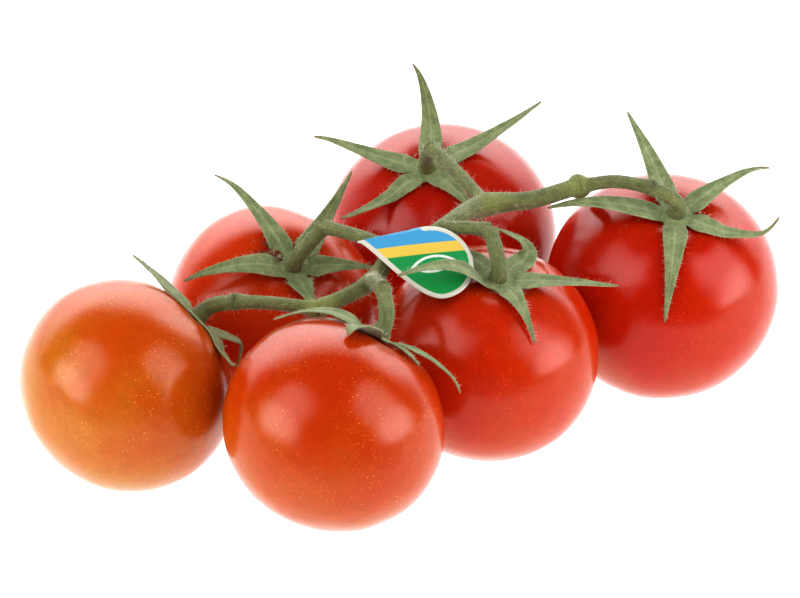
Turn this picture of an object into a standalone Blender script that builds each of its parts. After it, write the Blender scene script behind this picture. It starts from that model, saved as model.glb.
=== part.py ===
"""Six tomatoes still joined on one cut truss stem, with a folded paper tag on the stem.

The fruits stand on small flat spots at z = 0, packed side by side.  Everything else follows from
them: the truss stem runs over the valleys between their calyx seats, a stalk drops from each of
its knuckles to a seat, and five sepals spread from each seat over the skin.  +X is the long side
of the truss, +Z is up, and the origin lies on the table under the middle of the whole object.
"""
import math

import bmesh
import bpy
from mathutils import Matrix, Vector
from mathutils.geometry import interpolate_bezier

MM = 0.001  # every length below is written in millimetres and turned into metres on use

# ---- Fruit skin ----
FRUIT_DIAMETER = 60.0    # across the widest part of a typical fruit on this truss
FRUIT_FLATNESS = 0.94    # height of a fruit over its width
DIMPLE_DEPTH = 2.8       # how far the calyx seat sinks between the shoulders
DIMPLE_REACH = 8.5       # how far out from the seat the dimple runs
LOBE_DEPTH = 0.7         # furrows between the shoulders
LOBES = 5
SHOULDER_SPAN = 0.9      # share of the half width over which the dimple is worked in
SKIN_SPAN = 0.95         # share of the half width over which sepals follow the skin
SEAT_SINK = 0.8          # depth of the flat spot pressed into the underside

# ---- Stems ----
STEM_DIAMETER = 4.8      # the truss stem, between its forks
STEM_TAPER_FROM = 0.55   # share of the truss stem after which it thins to a stalk
STALK_DIAMETER = 3.7     # a fruit stalk
STALK_LEAD = 5.0         # how far a stalk leaves its fruit straight before it bends
KNUCKLE_RUN = 1.5        # straight stretch on both sides of a knuckle
KNUCKLE_SWELL = 1.12     # how much thicker a stalk is at its knuckle
RING_SWELL = 0.18        # how much thicker the truss stem grows at its ring and last fork
RING_REACH = 3.0
RECEPTACLE_DIAMETER = 6.6  # the swollen end of a stalk on its fruit
RECEPTACLE_HEIGHT = 1.4

# ---- Sepals ----
SEPAL_WIDTH = 6.8
SEPAL_TIP_WIDTH = 0.8
SEPAL_THICKNESS = 0.8
SEPAL_FOLD = 0.5         # depth of the groove along the midrib
SEPAL_START = 0.13       # space between the receptacle and its root, as a share of its width
SEPAL_ROOT = 0.38        # width at the root, as a share of its full width
SEPAL_SHOULDER = 0.25    # share of its length at which it is full width
SEPAL_TAPER = 0.75       # power of the taper from there to the tip
SEPAL_NEAR = 0.02        # share of its length over which its direction is measured

# ---- Paper tag ----
TAG_LENGTH = 28.0        # from its point to its round end
TAG_DROP = 22.0          # from the fold to the lowest point of the front flap
TAG_ROUND = 10.0         # length of the round end
TAG_HANG = 18.5          # from its point to where it hangs on the stem
TAG_TIP = 0.6            # height of the flap at its point
TAG_BELLY = 1.25         # power of the curve that its lower edge follows from there
TAG_PAPER = 0.4
TAG_LEAN = 50.0          # degrees between the front flap and the upright
TAG_SLACK = 0.7          # between the stem and the fold
TAG_TAB_WIDTH = 5.0      # the tab that is folded over the stem
TAG_TAB_DROP = 6.0

GAP = 0.3                # between pieces that touch
CLEAR = 0.6              # between a sepal's or a stalk's underside and the skin

# Each fruit: how much wider than typical it is, how far its calyx leans from upright and towards
# which bearing (degrees, 0 along +X, 90 along +Y), the two placed fruits that it stands beside
# with the gap to each, and its colour.
FRUITS = {
    "middle": dict(extra=-0.6, lean=19, bearing=285, beside=None, colour=(0.62, 0.03, 0.01)),
    "front": dict(extra=-2.7, lean=33, bearing=33, beside=("middle", 0.4), colour=(0.68, 0.07, 0.01)),
    "back_left": dict(extra=-1.2, lean=41, bearing=290, beside=("front", 15.4, "middle", 4.9),
                      colour=(0.6, 0.03, 0.01)),
    "left": dict(extra=-2.8, lean=52, bearing=24, beside=("front", 1.4, "back_left", 3.0),
                 colour=(0.72, 0.13, 0.01)),
    "back": dict(extra=5.9, lean=29, bearing=254, beside=("back_left", 3.1, "middle", 13.4),
                 colour=(0.58, 0.02, 0.01)),
    "right": dict(extra=4.2, lean=25, bearing=280, beside=("back", 5.0, "middle", 2.2),
                  colour=(0.58, 0.02, 0.01)),
}
FRONT_BEARING = 227      # from the middle fruit to the front one

# Forks of the truss stem: three fruits whose seats surround the fork, the share of each, and the
# height of the fork above them.
FORKS = {
    "cut_end": (("right", 0.65), ("back", 0.41), ("middle", -0.06), 1.5),
    "ring": (("right", 0.56), ("back", 0.27), ("middle", 0.17), 8.3),
    "back": (("right", 0.10), ("back", 0.40), ("middle", 0.50), 7.2),
    "middle": (("back_left", 0.24), ("back", 0.09), ("middle", 0.67), 11.1),
    "under_tag": (("front", 0.06), ("back_left", 0.45), ("middle", 0.49), 10.7),
    "front": (("front", 0.34), ("back_left", 0.41), ("middle", 0.25), 3.9),
    "left": (("left", 0.18), ("front", 0.52), ("back_left", 0.30), 1.3),
}
MAIN_RUN = ["cut_end", "ring", "back", "middle", "under_tag", "front", "left"]

# Each stalk: the fork that it grows from, and its knuckle measured from the calyx seat.
STALKS = {
    "left": ("left", (9.6, -2.0, 7.4)),
    "front": ("front", (2.6, 11.0, 9.4)),
    "back_left": ("under_tag", (5.6, -3.0, 11.0)),
    "back": ("back", (1.1, -10.0, 10.6)),
    "middle": ("middle", (-1.8, 6.0, 12.2)),
    "right": ("ring", (-7.2, -2.4, 9.7)),
}

# Sepals of each fruit.  Every row: the direction that the sepal grows in (degrees round the
# calyx, 0 towards +X), reach and rise of its middle, then direction, reach and rise of its tip.
# Reach is measured out from the sepal's root and rise from the calyx seat.
SEPALS = {
    "left": [(150, 8.8, 2, 152, 25.8, 1), (212, 6.8, 0, 212, 16.8, 1), (30, 4.8, 3, 28, 13.8, -1),
             (318, 7.8, -1, 318, 18.8, -3), (92, 7.8, 0, 92, 17.8, -2)],
    "front": [(170, 10.8, 1, 170, 23.8, -8), (234, 3.8, 1, 240, 10.8, -4), (6, 6.8, 1, 2, 19.8, -1),
              (304, 4.8, 0, 304, 12.8, -2), (98, 3.8, 0, 98, 9.8, 0)],
    "back_left": [(126, 10.8, 3, 130, 28.8, 4), (60, 10.8, 4, 60, 19.8, 19), (0, 6.8, 4, 0, 17.8, 5),
                  (290, 4.8, 3, 290, 14.8, 5), (192, 11.8, 4, 192, 25.8, -2)],
    "back": [(86, 12.8, 6, 96, 19.8, 20), (30, 15.8, 1, 30, 33.8, 4), (312, 6.8, 1, 312, 17.8, -5),
             (220, 10.8, 1, 220, 27.8, 9), (160, 12.8, 3, 160, 28.8, 8)],
    "middle": [(198, 9.8, 10, 195, 24.8, 5), (128, 6.8, -1, 128, 14.8, -2), (54, 9.8, 2, 92, 7.8, 8),
               (354, 9.8, 4, 351, 26.8, 5), (297, 7.8, 2, 297, 16.8, -4)],
    "right": [(111, 14.8, 5, 111, 30.8, 7), (36, 9.8, 4, 36, 25.8, 5), (338, 9.8, 0, 344, 23.8, 6),
              (264, 12.8, 0, 264, 23.8, -12), (180, 16.8, 3, 180, 30.8, -2)],
}

FRUIT_SEGMENTS = 24
FRUIT_RINGS = 14
SEPAL_STEPS = 7
TAG_STEPS = (14, 5)      # along and down the front flap
FOLD_STEPS = 6
STEM_STEP = 3.0          # between the rings of a stem
SHARP_ANGLE = 40.0       # degrees between the flat spot and the skin, and more
UP = Vector((0, 0, 1))


# ---- Scene and materials ----
def clear_scene():
    for old in list(bpy.data.objects):
        bpy.data.objects.remove(old, do_unlink=True)


def collection(name):
    made = bpy.data.collections.new(name)
    bpy.context.scene.collection.children.link(made)
    return made


def finish(name, colour, roughness):
    material = bpy.data.materials.new(name)
    material.use_nodes = True
    shader = material.node_tree.nodes["Principled BSDF"]
    shader.inputs["Base Color"].default_value = (*colour, 1)
    shader.inputs["Roughness"].default_value = roughness
    shader.inputs["Metallic"].default_value = 0
    return material


def add(name, data, material, group):
    piece = bpy.data.objects.new(name, data)
    if material:
        data.materials.append(material)
    group.objects.link(piece)
    return piece


# ---- Fruit layout ----
class Fruit:
    """Size, lean and place of one fruit; its own z runs from the blossom end to the calyx."""

    def __init__(self, extra, lean, bearing, beside, colour):
        self.radius = (FRUIT_DIAMETER + extra) / 2 * MM
        self.beside = beside
        self.colour = colour
        tilt = math.radians(lean)
        turn = math.radians(bearing)
        self.axis = Vector((math.sin(tilt) * math.cos(turn), math.sin(tilt) * math.sin(turn),
                            math.cos(tilt)))
        half_height = self.radius * FRUIT_FLATNESS
        support = math.hypot(self.radius * math.sin(tilt), half_height * math.cos(tilt))
        self.centre = Vector((0, 0, support - SEAT_SINK * MM))
        across = (Vector((1, 0, 0)) - self.axis * self.axis.x).normalized()
        self.turned = Matrix((across, self.axis.cross(across), self.axis)).transposed()

    def skin(self, reach):
        """Height of the skin over the fruit's middle, at a distance from its axis."""
        out = min(reach / self.radius, SKIN_SPAN)
        dome = self.radius * FRUIT_FLATNESS * math.sqrt(1 - out * out)
        return dome - DIMPLE_DEPTH * MM * math.exp(-(reach / (DIMPLE_REACH * MM)) ** 2)

    def place(self, direction, reach, height):
        """World position from a direction in degrees round the axis, a reach and a height."""
        turn = math.radians(direction)
        local = Vector((reach * math.cos(turn), reach * math.sin(turn), height))
        return self.centre + self.turned @ local

    @property
    def seat(self):
        return self.centre + self.axis * self.skin(0)


def spread(one, other, gap):
    """Distance in plan between two resting fruits whose skins are a gap apart."""
    reach = one.radius + other.radius + gap * MM
    return math.sqrt(reach ** 2 - (one.centre.z - other.centre.z) ** 2)


def lay_out():
    """The fruits, each standing beside one or two that are already placed."""
    fruits = {}
    for name, row in FRUITS.items():
        fruit = Fruit(**row)
        if fruit.beside and len(fruit.beside) == 2:
            first = fruits[fruit.beside[0]]
            turn = math.radians(FRONT_BEARING)
            step = Vector((math.cos(turn), math.sin(turn), 0)) * spread(first, fruit, fruit.beside[1])
            fruit.centre.xy = (first.centre + step).xy
        elif fruit.beside:
            first, second = fruits[fruit.beside[0]], fruits[fruit.beside[2]]
            near = spread(first, fruit, fruit.beside[1])
            far = spread(second, fruit, fruit.beside[3])
            line = (second.centre - first.centre).xy.to_3d()
            base = line.length
            along = (near ** 2 - far ** 2 + base ** 2) / (2 * base)
            aside = UP.cross(line).normalized() * math.sqrt(near ** 2 - along ** 2)
            fruit.centre.xy = (first.centre + line.normalized() * along + aside).xy
        fruits[name] = fruit
    return fruits


# ---- Fruits ----
def make_fruit(name, fruit, group):
    """A slightly flattened ball with shoulders round the seat, cut flat where it rests."""
    mesh = bpy.data.meshes.new("tomato_" + name)
    ball = bmesh.new()
    bmesh.ops.create_uvsphere(ball, u_segments=FRUIT_SEGMENTS, v_segments=FRUIT_RINGS, radius=1)
    for point in ball.verts:
        side = math.hypot(point.co.x, point.co.y)
        furrow = (1 - math.cos(LOBES * math.atan2(point.co.y, point.co.x))) / 2
        shoulder = math.sin(math.pi * side) if point.co.z > 0 else 0
        wide = fruit.radius - LOBE_DEPTH * MM * furrow * shoulder
        reach = side * fruit.radius
        dimpled = point.co.z > 0 and side < SHOULDER_SPAN
        height = fruit.skin(reach) if dimpled else point.co.z * fruit.radius * FRUIT_FLATNESS
        point.co = Vector((point.co.x * wide, point.co.y * wide, height))
    ball.transform(Matrix.Translation(fruit.centre) @ fruit.turned.to_4x4())
    cut = bmesh.ops.bisect_plane(ball, geom=ball.verts[:] + ball.edges[:] + ball.faces[:],
                                 plane_co=(0, 0, 0), plane_no=(0, 0, 1), clear_inner=True)
    rim = [edge for edge in cut["geom_cut"] if isinstance(edge, bmesh.types.BMEdge)]
    bmesh.ops.contextual_create(ball, geom=rim)
    bmesh.ops.recalc_face_normals(ball, faces=ball.faces)
    ball.to_mesh(mesh)
    ball.free()
    mesh.shade_smooth()
    mesh.set_sharp_from_angle(angle=math.radians(SHARP_ANGLE))
    return add("tomato_" + name, mesh, finish("skin_" + name, fruit.colour, 0.2), group)


# ---- Stems ----
def smooth(points, step):
    """Points about a step apart on a curve that passes through a run and rounds its corners."""
    ways = []
    for i, point in enumerate(points):
        before = point - points[i - 1] if i else points[1] - point
        after = points[i + 1] - point if i + 1 < len(points) else before
        ways.append((before.normalized() + after.normalized()).normalized())
    run = [points[0]]
    for start, stop, leave, arrive in zip(points, points[1:], ways, ways[1:]):
        reach = (stop - start).length / 3
        pieces = max(1, round(3 * reach / step))
        run += interpolate_bezier(start, start + leave * reach, stop - arrive * reach, stop,
                                  pieces + 1)[1:]
    return run


def tube(name, run, widths, material, group):
    """A round rod along a run of points, with its radius at each."""
    curve = bpy.data.curves.new(name, "CURVE")
    curve.dimensions = "3D"
    curve.bevel_depth = 1.0
    curve.bevel_resolution = 2
    curve.use_fill_caps = True
    line = curve.splines.new("POLY")
    line.points.add(len(run) - 1)
    for point, place, width in zip(line.points, run, widths):
        point.co = (*place, 1)
        point.radius = width
    return add(name, curve, material, group)


def as_mesh(piece, group):
    """The mesh of a rod with its caps welded on, in place of its curve."""
    bpy.context.view_layer.update()
    evaluated = piece.evaluated_get(bpy.context.evaluated_depsgraph_get())
    mesh = bpy.data.meshes.new_from_object(evaluated)
    shape = bmesh.new()
    shape.from_mesh(mesh)
    bmesh.ops.remove_doubles(shape, verts=shape.verts, dist=0.01 * MM)
    bmesh.ops.recalc_face_normals(shape, faces=shape.faces)
    shape.to_mesh(mesh)
    shape.free()
    name = piece.name
    placed = piece.matrix_world.copy()
    bpy.data.objects.remove(piece, do_unlink=True)
    solid = add(name, mesh, None, group)
    solid.matrix_world = placed
    return solid


def fork_place(fruits, name):
    """A fork stands over a blend of the seats of three fruits."""
    *shares, rise = FORKS[name]
    whole = sum(share for _, share in shares)
    blend = sum((fruits[fruit].seat * share for fruit, share in shares), Vector()) / whole
    return blend + UP * rise * MM


def knuckle(fruits, name):
    """Where a stalk breaks off: its place and the way that the stem runs through it."""
    fork, offset = STALKS[name]
    fruit = fruits[name]
    here = fruit.seat + Vector(offset) * MM
    lead = fruit.seat + fruit.axis * STALK_LEAD * MM
    way = ((here - fork_place(fruits, fork)).normalized() + (lead - here).normalized()).normalized()
    return here, lead, way


def make_stalk(name, fruits, material, group):
    """The free end of a fruit stalk, from its knuckle to the swollen receptacle on the fruit."""
    here, lead, way = knuckle(fruits, name)
    fruit = fruits[name]
    foot = fruit.seat + fruit.axis * CLEAR * MM
    ankle = foot + fruit.axis * RECEPTACLE_HEIGHT * MM
    run = [here + way * GAP / 2 * MM]
    run += smooth([here + way * KNUCKLE_RUN * MM, lead, ankle], STEM_STEP * MM)
    run.append(foot)
    widths = [STALK_DIAMETER / 2 * MM] * len(run)
    widths[0] = widths[1] = STALK_DIAMETER / 2 * MM * KNUCKLE_SWELL
    widths[-2] = widths[-1] = RECEPTACLE_DIAMETER / 2 * MM
    return tube("stalk_" + name, run, widths, material, group)


def make_truss(fruits, material, group, cutters):
    """The truss stem: the main run with a stub at each fork, joined into one solid."""
    places = [fork_place(fruits, name) for name in MAIN_RUN]
    tag_start = MAIN_RUN.index("middle")
    places.insert(tag_start + 1, (places[tag_start] + places[tag_start + 1]) / 2)
    here, _, way = knuckle(fruits, "left")
    run = smooth(places + [here - way * KNUCKLE_RUN * MM], STEM_STEP * MM)
    run.append(here - way * GAP / 2 * MM)
    thick, thin = STEM_DIAMETER / 2 * MM, STALK_DIAMETER / 2 * MM
    swellings = (fork_place(fruits, "ring"), fork_place(fruits, "left"))
    widths = []
    for i, place in enumerate(run):
        thinned = max(0, i / (len(run) - 1) - STEM_TAPER_FROM) / (1 - STEM_TAPER_FROM)
        near = min((place - spot).length for spot in swellings) / (RING_REACH * MM)
        widths.append((thick + (thin - thick) * thinned) * (1 + RING_SWELL * math.exp(-near ** 2)))
    truss = as_mesh(tube("truss_stem", run, widths, None, group), group)
    truss.data.materials.append(material)

    for name, (fork, _) in STALKS.items():
        if name == "left":
            continue
        here, _, way = knuckle(fruits, name)
        stub_run = smooth([fork_place(fruits, fork), here - way * KNUCKLE_RUN * MM], STEM_STEP * MM)
        stub_run.append(here - way * GAP / 2 * MM)
        widths = [thin] * (len(stub_run) - 2) + [thin * KNUCKLE_SWELL] * 2
        stub = as_mesh(tube("stub_" + name, stub_run, widths, None, cutters), cutters)
        stub.hide_render = True
        stub.display_type = "WIRE"
        join = truss.modifiers.new("join_" + name, "BOOLEAN")
        join.operation = "UNION"
        join.object = stub
    return truss


# ---- Sepals ----
def room_beside(rows, row):
    """Half the angle between a sepal's root and the nearest root beside it."""
    turns = [abs((other[0] - row[0] + 180) % 360 - 180) for other in rows if other is not row]
    return math.radians(min(turns) / 2)


def make_sepal(name, fruit, row, room, material, group):
    """A narrow leaf on a bent midrib: a grid of two strips, folded and given its thickness.

    Near its root it is no wider than the room that the sepals beside it leave.
    """
    turn, mid_reach, mid_rise, tip_turn, tip_reach, tip_rise = row
    root = (RECEPTACLE_DIAMETER / 2 + SEPAL_START * SEPAL_WIDTH) * MM
    seat = fruit.skin(0)
    level = fruit.skin(root) + CLEAR * MM
    start = fruit.place(turn, root, level)
    middle = fruit.place(turn, root + mid_reach * MM, seat + mid_rise * MM)
    tip = fruit.place(tip_turn, root + tip_reach * MM, seat + tip_rise * MM)
    bend = 2 * middle - (start + tip) / 2

    def midrib(u):
        point = start * (1 - u) ** 2 + bend * 2 * u * (1 - u) + tip * u * u
        off = point - fruit.centre
        height = off.dot(fruit.axis)
        low = fruit.skin((off - fruit.axis * height).length) + CLEAR * MM
        return point + fruit.axis * max(0, low - height)

    mesh = bpy.data.meshes.new(name)
    leaf = bmesh.new()
    bmesh.ops.create_grid(leaf, x_segments=SEPAL_STEPS, y_segments=2, size=1)
    for point in leaf.verts:
        u = (point.co.x + 1) / 2
        along = (midrib(min(1, u + SEPAL_NEAR)) - midrib(max(0, u - SEPAL_NEAR))).normalized()
        aside = fruit.axis.cross(along).normalized()
        out = along.cross(aside)
        grown = math.sin(min(1, u / SEPAL_SHOULDER) * math.pi / 2)
        full = SEPAL_ROOT + (1 - SEPAL_ROOT) * grown
        half = SEPAL_WIDTH / 2 * full * (1 - u) ** SEPAL_TAPER + SEPAL_TIP_WIDTH / 2
        off = midrib(u) - fruit.centre
        reach = (off - fruit.axis * off.dot(fruit.axis)).length
        half = min(half, reach / MM * math.tan(room) - GAP)
        fold = SEPAL_FOLD * abs(point.co.y) * math.sin(math.pi * u)
        point.co = midrib(u) + aside * point.co.y * half * MM + out * fold * MM
    bmesh.ops.recalc_face_normals(leaf, faces=leaf.faces)
    leaf.to_mesh(mesh)
    leaf.free()
    piece = add(name, mesh, material, group)
    wall = piece.modifiers.new("thickness", "SOLIDIFY")
    wall.thickness = SEPAL_THICKNESS * MM
    up = sum((face.normal.dot(fruit.axis) for face in mesh.polygons))
    wall.offset = 1 if up > 0 else -1
    return piece


# ---- Paper tag ----
def tag_edges(s):
    """How far below the fold the front flap starts and ends, at a distance from its point."""
    straight = TAG_LENGTH - TAG_ROUND
    if s <= straight:
        return 0, max(TAG_TIP, TAG_DROP * math.sin(s / straight * math.pi / 2) ** TAG_BELLY)
    curl = 1 - math.sqrt(1 - ((s - straight) / TAG_ROUND) ** 2)
    return TAG_DROP / 2 * curl, max(TAG_DROP * (1 - curl / 2), TAG_DROP / 2 * curl + TAG_TIP)


def make_tag(fruits, material, group):
    """A drop-shaped paper flap that leans in front of the stem, with a tab folded over behind."""
    left = fork_place(fruits, "under_tag")
    right = fork_place(fruits, "middle")
    middle = (left + right) / 2
    along = (right - left).normalized()
    lean = math.radians(TAG_LEAN)
    facing = Vector((0, -math.cos(lean), math.sin(lean)))
    out = (facing - along * facing.dot(along)).normalized()
    down = along.cross(out)
    fold = (STEM_DIAMETER / 2 + TAG_SLACK) * MM

    mesh = bpy.data.meshes.new("paper_tag")
    sheet = bmesh.new()
    bmesh.ops.create_grid(sheet, x_segments=TAG_STEPS[0], y_segments=TAG_STEPS[1], size=1)
    folded = []
    for point in sheet.verts:
        s = (point.co.x + 1) / 2 * TAG_LENGTH
        start, stop = tag_edges(s)
        v = (1 - point.co.y) / 2
        if v == 0 and abs(s - TAG_HANG) < TAG_TAB_WIDTH / 2:
            folded.append(point)
        flap = along * (s - TAG_HANG) + down * (start + (stop - start) * v)
        point.co = middle + out * fold + flap * MM

    hem = [edge for edge in sheet.edges if all(point in folded for point in edge.verts)]
    for i in range(FOLD_STEPS + 1):
        grown = bmesh.ops.extrude_edge_only(sheet, edges=hem)["geom"]
        points = [item for item in grown if isinstance(item, bmesh.types.BMVert)]
        hem = [item for item in grown if isinstance(item, bmesh.types.BMEdge)]
        if i < FOLD_STEPS:
            bmesh.ops.rotate(sheet, verts=points, cent=middle,
                             matrix=Matrix.Rotation(-math.pi / FOLD_STEPS, 3, along))
        else:
            bmesh.ops.translate(sheet, verts=points, vec=down * TAG_TAB_DROP * MM)
    sheet.to_mesh(mesh)
    sheet.free()
    piece = add("paper_tag", mesh, material, group)
    wall = piece.modifiers.new("paper", "SOLIDIFY")
    wall.thickness = TAG_PAPER * MM
    wall.offset = 1
    return piece


# ---- The whole truss ----
def centre_on_origin(pieces, loose):
    """Hang everything from one empty, moved so that the box's foot is centred on the origin."""
    bpy.context.view_layer.update()
    graph = bpy.context.evaluated_depsgraph_get()
    corners = []
    for piece in pieces:
        shape = piece.evaluated_get(graph).to_mesh()
        corners += [piece.matrix_world @ point.co for point in shape.vertices]
    middle_x = (min(c.x for c in corners) + max(c.x for c in corners)) / 2
    middle_y = (min(c.y for c in corners) + max(c.y for c in corners)) / 2
    holder = bpy.data.objects.new("truss_place", None)
    bpy.context.scene.collection.objects.link(holder)
    holder.location = (-middle_x, -middle_y, 0)
    for piece in pieces + loose:
        piece.parent = holder


def build():
    clear_scene()
    parts = collection("tomato_truss")
    cutters = collection("stem_stubs")
    green = finish("stem_green", (0.16, 0.27, 0.09), 0.75)
    leaf_green = finish("sepal_green", (0.12, 0.22, 0.08), 0.75)
    paper = finish("tag_paper", (0.05, 0.42, 0.09), 0.5)

    fruits = lay_out()
    pieces = []
    for name, fruit in fruits.items():
        pieces.append(make_fruit(name, fruit, parts))
        pieces.append(make_stalk(name, fruits, green, parts))
        for number, row in enumerate(SEPALS[name], 1):
            room = room_beside(SEPALS[name], row)
            pieces.append(make_sepal(f"sepal_{name}_{number}", fruit, row, room, leaf_green, parts))
    pieces.append(make_truss(fruits, green, parts, cutters))
    pieces.append(make_tag(fruits, paper, parts))
    centre_on_origin(pieces, list(cutters.objects))


build()
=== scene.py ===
"""Six ripe tomatoes on one cut truss stem with a paper tag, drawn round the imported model."""

import math
import random

import bmesh
import bpy
from mathutils import Matrix, Vector, noise
from mathutils.geometry import interpolate_bezier
from mathutils.kdtree import KDTree


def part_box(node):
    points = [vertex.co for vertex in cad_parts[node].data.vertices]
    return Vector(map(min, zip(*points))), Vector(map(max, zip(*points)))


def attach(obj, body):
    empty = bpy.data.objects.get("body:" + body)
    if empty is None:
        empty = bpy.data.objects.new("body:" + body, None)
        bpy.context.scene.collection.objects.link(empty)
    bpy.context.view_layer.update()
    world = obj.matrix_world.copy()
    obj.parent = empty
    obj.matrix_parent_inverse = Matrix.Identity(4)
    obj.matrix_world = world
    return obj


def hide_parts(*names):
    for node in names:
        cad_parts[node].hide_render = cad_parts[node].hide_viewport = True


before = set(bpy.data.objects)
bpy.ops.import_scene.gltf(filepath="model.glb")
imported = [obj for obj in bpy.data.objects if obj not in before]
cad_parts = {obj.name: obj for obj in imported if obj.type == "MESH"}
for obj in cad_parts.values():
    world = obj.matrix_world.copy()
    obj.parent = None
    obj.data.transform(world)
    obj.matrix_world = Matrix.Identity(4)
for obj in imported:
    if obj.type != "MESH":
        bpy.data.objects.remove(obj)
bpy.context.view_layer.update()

# ==== The six tomatoes ====
# Ripe truss tomatoes: a thin waxy skin over juicy flesh, with soft shoulders and creases round
# the calyx and a small scar at the blossom end.  Each one stands on a small flat spot.
MM = 0.001
FLATNESS = 0.94
SEAT_SINK = 0.8
DIMPLE_DEPTH = 2.8
DIMPLE_REACH = 8.5
SKIN_SPAN = 0.95         # share of the half width within which a sepal can stand on the skin
CREASE_DEPTH = 0.42
CREASE_WIDTH = 19.0
CREASE_SPAN = 0.85       # share of the half width at which the creases have run out
LUMP_HEIGHT, LUMP_GRAIN = 0.35, 1.6
RIPPLE_HEIGHT, RIPPLE_GRAIN = 0.13, 3.7
FLAT_SPREAD = 8
BALL_SEGMENTS, BALL_RINGS = 120, 80

# half width, lean and bearing of the calyx, ripe colour, paler colour, golden specks,
# a side that is a little flat (world direction and depth)
FRUITS = {
    "middle": (29.7, 19, 285, (0.49, 0.032, 0.001), (0.47, 0.082, 0.003), 0.30, (0, 0, 1), 0.0),
    "front": (28.65, 33, 33, (0.46, 0.046, 0.001), (0.47, 0.100, 0.004), 0.75, (0, 0, 1), 0.0),
    "back_left": (29.4, 41, 290, (0.52, 0.050, 0.002), (0.47, 0.065, 0.004), 0.35,
                  (0.5, 0.5, 0.7), 2.6),
    "left": (28.6, 52, 24, (0.50, 0.088, 0.002), (0.49, 0.200, 0.020), 1.0, (0, 0, 1), 0.0),
    "back": (32.95, 29, 254, (0.45, 0.015, 0.001), (0.45, 0.048, 0.003), 0.25, (0, 0, 1), 0.0),
    "right": (32.1, 25, 280, (0.48, 0.019, 0.001), (0.46, 0.072, 0.003), 0.30, (0, 0, 1), 0.0),
}

# Sepals of each fruit, used for the creases too: direction round the calyx, reach and rise of
# the middle, direction, reach and rise of the tip, and the curl of the tip (outwards, sideways).
# A few go on with a bank in degrees, a taper, and how sharply they are bent in the middle.
SEPALS = {
    "left": [(150, 12.0, 1.2, 150, 25.2, 0.5, 0, 0, -25),
             (206, 7.4, 0.6, 172, 17.0, 1.2, 0, 0, -10),
             (24, 9.0, 4.9, 22, 13.4, -0.6, 0, 0, 8, 1.0, 0.8),
             (318, 10.8, -0.6, 318, 18.8, -0.6, 0, 0, 5, 1.1), (92, 7.8, 0, 92, 17.8, -2, 0, 0)],
    "front": [(190, 11.0, 0.6, 176, 21.5, -7.6, 0, 0, -18),
              (248, 8.5, 2.0, 243, 14.5, 0.5, -2, 0, 20, 0.4),
              (352, 8.5, 2.0, 0, 21.5, -0.6, -2, 0, 8), (322, 5.0, 0, 330, 10.0, -2.0, 0, 0),
              (98, 3.8, 0, 98, 9.8, 0, 0, 0)],
    "back_left": [(126, 10.8, 3, 130, 28.8, 4, 0, 2.5), (60, 10.8, 4, 60, 19.8, 19, 0, 0),
                  (0, 6.8, 4, 0, 17.8, 5, 0, 0), (290, 4.8, 3, 290, 12.4, 5, 0, 0),
                  (192, 11.8, 4, 192, 25.8, -2, -1, 0)],
    "back": [(86, 12.8, 6, 93, 20.0, 21, 2, 2), (30, 15.8, 1, 30, 33.8, 4, 0, 0),
             (312, 6.8, 1, 312, 17.8, -5, 0, 0), (220, 10.8, 1, 221, 27.0, 7, 0, 0),
             (160, 12.8, 3, 160, 28.8, 8, -2, 0)],
    "middle": [(198, 9.8, 8.2, 195, 23.4, 6, 0, 0), (128, 6.8, -1, 128, 14.8, -2, 0, 0),
               (54, 9.8, 2, 92, 7.8, 8, 0, 0), (353, 10.2, 2.9, 351, 27.2, 5.6, 0, 0),
               (297, 7.8, 2, 298, 17.0, -4, 0, 0, 0, 1.25)],
    "right": [(111, 14.8, 5, 111, 30.8, 7, 0, 0), (36, 9.8, 4, 35, 26.0, 5.5, 0, -2.5),
              (338, 9.8, 0.4, 345, 24.6, 3.0, 7, 0), (264, 12.8, 0, 264, 23.8, -12, 0, 0),
              (180, 16.8, 4, 180, 30.8, 1, 0, 0)],
}


class Tomato:
    """Size, lean and place of one fruit; its own z runs from the blossom end to the calyx."""

    def __init__(self, name):
        self.name = name
        half, lean, bearing, *self.looks = FRUITS[name]
        self.radius = half * MM
        tilt, turn = math.radians(lean), math.radians(bearing)
        self.axis = Vector((math.sin(tilt) * math.cos(turn), math.sin(tilt) * math.sin(turn),
                            math.cos(tilt)))
        low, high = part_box("tomato_" + name)
        support = math.hypot(self.radius * math.sin(tilt),
                             self.radius * FLATNESS * math.cos(tilt))
        middle = (low + high) / 2
        self.centre = Vector((middle.x, middle.y, support - SEAT_SINK * MM))
        across = (Vector((1, 0, 0)) - self.axis * self.axis.x).normalized()
        self.turned = Matrix((across, self.axis.cross(across), self.axis)).transposed()

    def skin(self, reach):
        """Height of the skin over the fruit's middle, at a distance from its axis."""
        out = min(reach / self.radius, SKIN_SPAN)
        dome = self.radius * FLATNESS * math.sqrt(1 - out * out)
        return dome - DIMPLE_DEPTH * MM * math.exp(-(reach / (DIMPLE_REACH * MM)) ** 2)

    def place(self, direction, reach, height):
        """World position from a direction in degrees round the axis, a reach and a height."""
        turn = math.radians(direction)
        local = Vector((reach * math.cos(turn), reach * math.sin(turn), height))
        return self.centre + self.turned @ local


def between_sepals(name):
    """Directions halfway between the sepals of a fruit, in degrees."""
    turns = sorted(row[0] % 360 for row in SEPALS[name])
    return [(a + b) / 2 for a, b in zip(turns, turns[1:] + [turns[0] + 360])]


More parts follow.
